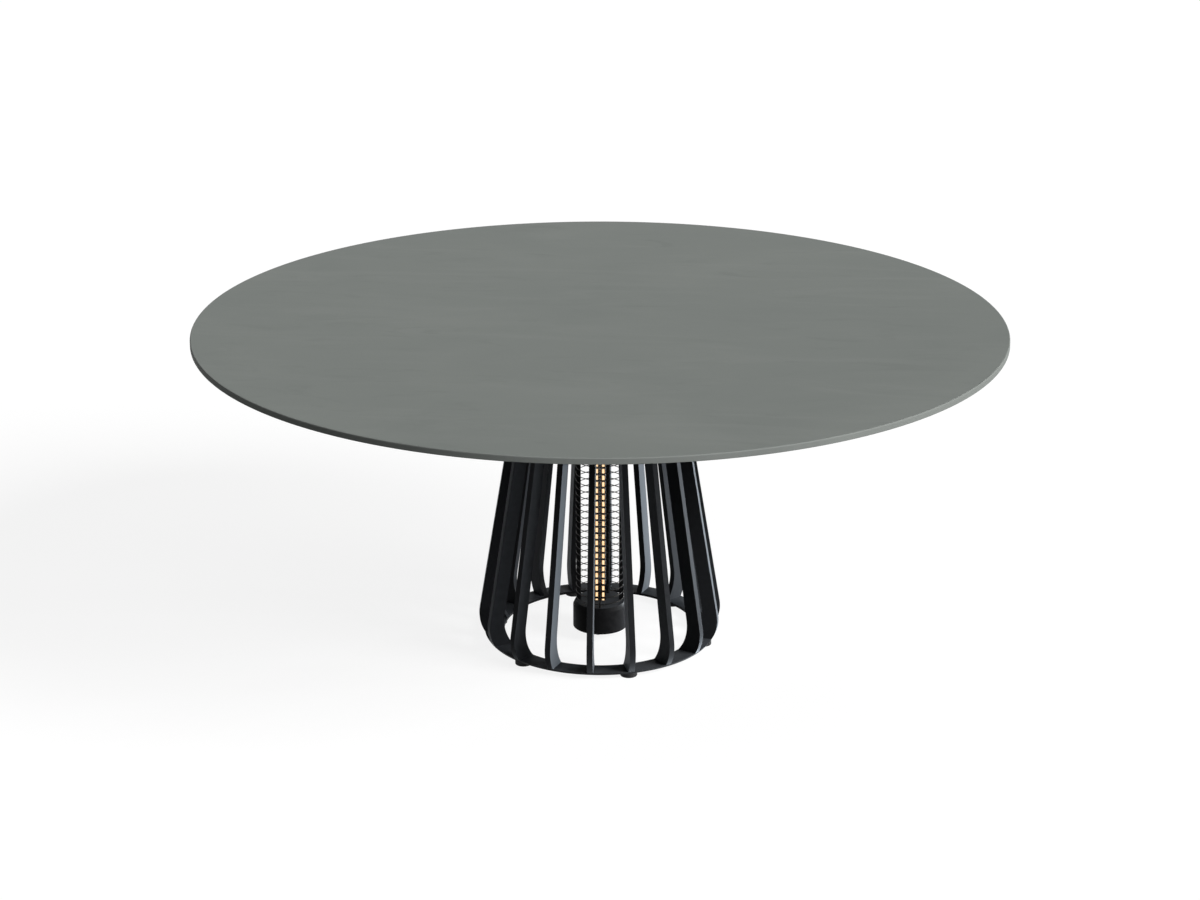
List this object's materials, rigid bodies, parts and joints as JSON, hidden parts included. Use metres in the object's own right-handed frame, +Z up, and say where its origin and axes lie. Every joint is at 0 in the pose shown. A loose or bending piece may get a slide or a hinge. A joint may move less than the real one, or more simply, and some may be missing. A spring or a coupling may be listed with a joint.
{
  "type": "round patio table",
  "caption": "Round outdoor table: a thin ceramic top on a cage of leaning black fins tied by a foot ring, with levelling feet and a radiant heater hung inside the base.",
  "frame": {"origin": "on the floor under the centre of the top", "axes": "+Z up; -Y is the front, where the first fin stands; +X to the right seen from the front"},
  "size_m": [1.5998, 1.5998, 0.665],
  "materials": {
    "ceramic_slab": "matt mid-grey sintered stone with faint cloudy veining",
    "black_coat": "satin black powder coat with a fine orange-peel grain",
    "heater_coat": "semi-matt black high-temperature enamel",
    "guard_wire": "dark oxidised steel wire",
    "steel": "zinc-plated steel",
    "brass": "turned brass",
    "silicone": "translucent grey silicone",
    "foot_plastic": "moulded dark nylon",
    "quartz": "smoked quartz glass",
    "carbon_glow": "glowing carbon-fibre ribbon",
    "lamp_ceramic": "unglazed white ceramic",
    "gland_plastic": "moulded black nylon"
  },
  "bodies": {
    "table": {"table_top": "ceramic_slab", "support_star": "black_coat", "head_plate": "black_coat", "foot_ring": "black_coat", "fin_01": "black_coat", "fin_02": "black_coat", "fin_03": "black_coat", "fin_04": "black_coat", "fin_05": "black_coat", "fin_06": "black_coat", "fin_07": "black_coat", "fin_08": "black_coat", "fin_09": "black_coat", "fin_10": "black_coat", "fin_11": "black_coat", "fin_12": "black_coat", "fin_13": "black_coat", "fin_14": "black_coat", "fin_15": "black_coat", "fin_16": "black_coat", "fin_17": "black_coat", "fin_18": "black_coat", "heater_head": "heater_coat", "heater_lid": "heater_coat", "heater_base": "heater_coat", "base_cover": "heater_coat", "tie_rods": "heater_coat", "heater_guard": "guard_wire", "top_screws": "steel", "star_bolts": "steel", "fin_screws_upper": "steel", "fin_screws_lower": "steel", "heater_screws": "steel", "cover_screws": "steel", "tie_rod_nuts": "steel", "top_inserts": "brass", "top_pads": "silicone", "quartz_tube_1": "quartz", "quartz_tube_2": "quartz", "heating_strip_1": "carbon_glow", "heating_strip_2": "carbon_glow", "lamp_caps": "lamp_ceramic", "lamp_sockets": "lamp_ceramic", "terminal_block": "gland_plastic", "cable_gland": "gland_plastic", "gland_nut": "gland_plastic"},
    "foot_1": {"foot_pad_1": "foot_plastic", "foot_stud_1": "steel"},
    "foot_2": {"foot_pad_2": "foot_plastic", "foot_stud_2": "steel"},
    "foot_3": {"foot_pad_3": "foot_plastic", "foot_stud_3": "steel"},
    "foot_4": {"foot_pad_4": "foot_plastic", "foot_stud_4": "steel"},
    "foot_5": {"foot_pad_5": "foot_plastic", "foot_stud_5": "steel"},
    "foot_6": {"foot_pad_6": "foot_plastic", "foot_stud_6": "steel"}
  },
  "joints": [
    {"name": "foot_1_level", "type": "slide", "parent": "table", "child": "foot_1", "axis": [0, 0, -1], "range_m": [0, 0.01]},
    {"name": "foot_2_level", "type": "slide", "parent": "table", "child": "foot_2", "axis": [0, 0, -1], "range_m": [0, 0.01]},
    {"name": "foot_3_level", "type": "slide", "parent": "table", "child": "foot_3", "axis": [0, 0, -1], "range_m": [0, 0.01]},
    {"name": "foot_4_level", "type": "slide", "parent": "table", "child": "foot_4", "axis": [0, 0, -1], "range_m": [0, 0.01]},
    {"name": "foot_5_level", "type": "slide", "parent": "table", "child": "foot_5", "axis": [0, 0, -1], "range_m": [0, 0.01]},
    {"name": "foot_6_level", "type": "slide", "parent": "table", "child": "foot_6", "axis": [0, 0, -1], "range_m": [0, 0.01]}
  ]
}
